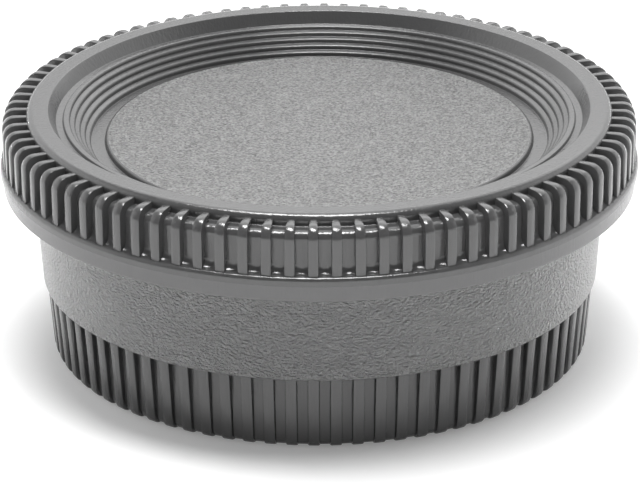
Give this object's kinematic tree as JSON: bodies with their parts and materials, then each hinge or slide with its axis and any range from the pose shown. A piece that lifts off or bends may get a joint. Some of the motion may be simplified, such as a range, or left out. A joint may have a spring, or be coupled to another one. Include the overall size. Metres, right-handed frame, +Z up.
{
  "type": "camera body cap with rear lens cap",
  "caption": "Round knurled camera body cap locked by its bayonet onto a shallow cup-shaped rear lens cap, standing closed end down.",
  "frame": {"origin": "centre of the rear lens cap's base, on the caps' common axis", "axes": "+Z up along the caps' common axis, from the rear lens cap's closed end to the body cap's dished top; the picture looks along +Y"},
  "size_m": [0.0624, 0.0624, 0.0245],
  "materials": {
    "body_cap_plastic": "satin black moulding, fine sparkling grain on the disc",
    "rear_cap_plastic": "satin black moulding, leather-like grain on the wall"
  },
  "bodies": {
    "rear_cap_body": {"rear_lens_cap": "rear_cap_plastic"},
    "body_cap_body": {"body_cap": "body_cap_plastic"}
  },
  "joints": [
    {"name": "bayonet_twist", "type": "hinge", "parent": "rear_cap_body", "child": "body_cap_body", "pos_m": [0, 0, 0.0186], "axis": [0, 0, 1], "range_deg": [-60, 0]}
  ]
}
